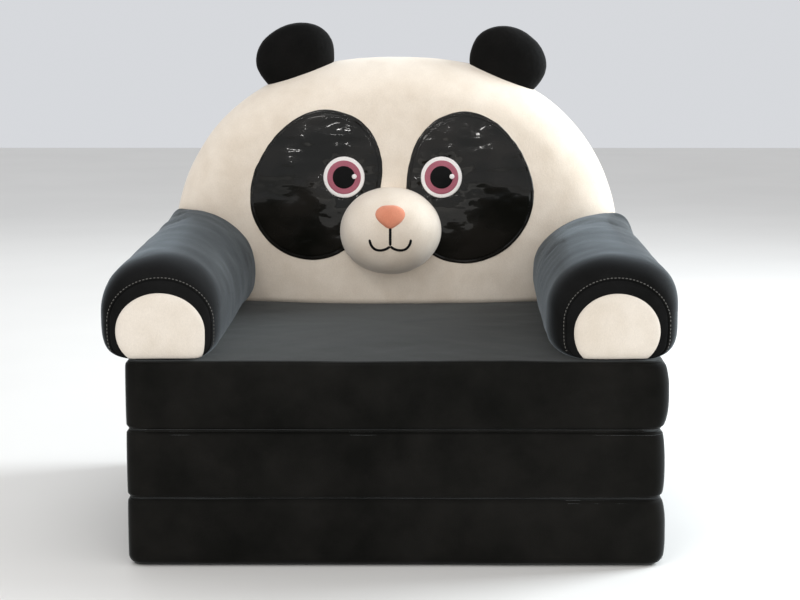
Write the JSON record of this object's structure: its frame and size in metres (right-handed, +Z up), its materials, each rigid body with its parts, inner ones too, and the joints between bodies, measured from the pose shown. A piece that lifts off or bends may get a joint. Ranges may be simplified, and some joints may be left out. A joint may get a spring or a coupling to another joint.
{
  "type": "children's fold-out sofa",
  "caption": "Child-size foam sofa shaped like a sitting panda; velvet pads folded in a zigzag swing out to a flat bed, with round arms and a domed backrest.",
  "frame": {"origin": "on the floor, under the middle of the base pad", "axes": "+X to the right of someone facing the sofa, +Y from front to back, +Z up"},
  "size_m": [0.56, 0.459, 0.5245],
  "materials": {
    "velvet_black": "short-pile velvet, soft sheen",
    "velvet_ear": "deep-pile plush",
    "plush_cream": "brushed short plush",
    "paw_cream": "brushed short plush",
    "patent_black": "high-gloss patent faux leather",
    "felt_white": "satin embroidery",
    "felt_rose": "satin embroidery",
    "felt_black": "satin embroidery",
    "nose_coral": "brushed fabric",
    "thread_black": "embroidery thread",
    "foam": "open-cell foam",
    "stuffing": "polyester fibre",
    "grip_fabric": "non-slip fabric with rubber dots",
    "zip_tape": "woven tape with nylon coil",
    "zip_metal": "black enamelled zinc"
  },
  "bodies": {
    "base_pad": {"base_pad_cover": "velvet_black", "base_grip_panel": "grip_fabric", "base_pad_foam": "foam", "rear_hinge_welt": "velvet_black", "base_zip_tape": "zip_tape"},
    "middle_pad": {"middle_pad_cover": "velvet_black", "middle_pad_foam": "foam", "front_hinge_welt": "velvet_black", "middle_zip_tape": "zip_tape"},
    "base_slider": {"base_zip_slider": "zip_metal"},
    "base_pull": {"base_zip_pull": "zip_metal"},
    "middle_slider": {"middle_zip_slider": "zip_metal"},
    "middle_pull": {"middle_zip_pull": "zip_metal"},
    "seat_slider": {"seat_zip_slider": "zip_metal"},
    "seat_pull": {"seat_zip_pull": "zip_metal"},
    "backrest_slider": {"backrest_zip_slider": "zip_metal"},
    "backrest_pull": {"backrest_zip_pull": "zip_metal"},
    "seat_unit": {"seat_pad_cover": "velvet_black", "seat_pad_foam": "foam", "backrest_front_cover": "plush_cream", "backrest_rear_cover": "plush_cream", "backrest_foam": "foam", "left_arm_cover": "velvet_black", "left_arm_end_cap": "velvet_black", "left_paw_panel": "paw_cream", "left_arm_stuffing": "stuffing", "left_ear_cover": "velvet_ear", "left_ear_stuffing": "stuffing", "left_eye_patch": "patent_black", "left_eye_white": "felt_white", "left_eye_iris": "felt_rose", "left_eye_pupil": "felt_black", "left_eye_glint": "felt_white", "right_arm_cover": "velvet_black", "right_arm_end_cap": "velvet_black", "right_paw_panel": "paw_cream", "right_arm_stuffing": "stuffing", "right_ear_cover": "velvet_ear", "right_ear_stuffing": "stuffing", "right_eye_patch": "patent_black", "right_eye_white": "felt_white", "right_eye_iris": "felt_rose", "right_eye_pupil": "felt_black", "right_eye_glint": "felt_white", "muzzle_cover": "plush_cream", "muzzle_stuffing": "stuffing", "nose": "nose_coral", "mouth": "thread_black", "seat_zip_tape": "zip_tape", "backrest_zip_tape": "zip_tape"}
  },
  "joints": [
    {"name": "rear_fold", "type": "hinge", "parent": "base_pad", "child": "middle_pad", "pos_m": [0, 0.227, 0.0675], "axis": [-1, 0, 0], "range_deg": [0, 180]},
    {"name": "front_fold", "type": "hinge", "parent": "middle_pad", "child": "seat_unit", "pos_m": [0, -0.227, 0.135], "axis": [1, 0, 0], "range_deg": [0, 180]},
    {"name": "base_zip", "type": "slide", "parent": "base_pad", "child": "base_slider", "axis": [0, -1, 0], "range_m": [0, 0.3214]},
    {"name": "base_pull_tab", "type": "hinge", "parent": "base_slider", "child": "base_pull", "pos_m": [-0.268, 0.1608, 0.03375], "axis": [0, 0, 1], "range_deg": [0, 175]},
    {"name": "middle_zip", "type": "slide", "parent": "middle_pad", "child": "middle_slider", "axis": [0, -1, 0], "range_m": [0, 0.3214]},
    {"name": "middle_pull_tab", "type": "hinge", "parent": "middle_slider", "child": "middle_pull", "pos_m": [-0.268, 0.1608, 0.10125], "axis": [0, 0, 1], "range_deg": [0, 175]},
    {"name": "seat_zip", "type": "slide", "parent": "seat_unit", "child": "seat_slider", "axis": [0, -1, 0], "range_m": [0, 0.3214]},
    {"name": "seat_pull_tab", "type": "hinge", "parent": "seat_slider", "child": "seat_pull", "pos_m": [-0.268, 0.1608, 0.16875], "axis": [0, 0, 1], "range_deg": [0, 175]},
    {"name": "backrest_zip", "type": "slide", "parent": "seat_unit", "child": "backrest_slider", "axis": [-1, 0, 0], "range_m": [0, 0.3214]},
    {"name": "backrest_pull_tab", "type": "hinge", "parent": "backrest_slider", "child": "backrest_pull", "pos_m": [0.1608, 0.226, 0.236], "axis": [0, 0, 1], "range_deg": [0, 175]}
  ],
  "couplings": [
    {"joint": "front_fold", "follows": "rear_fold", "ratio": 1}
  ]
}
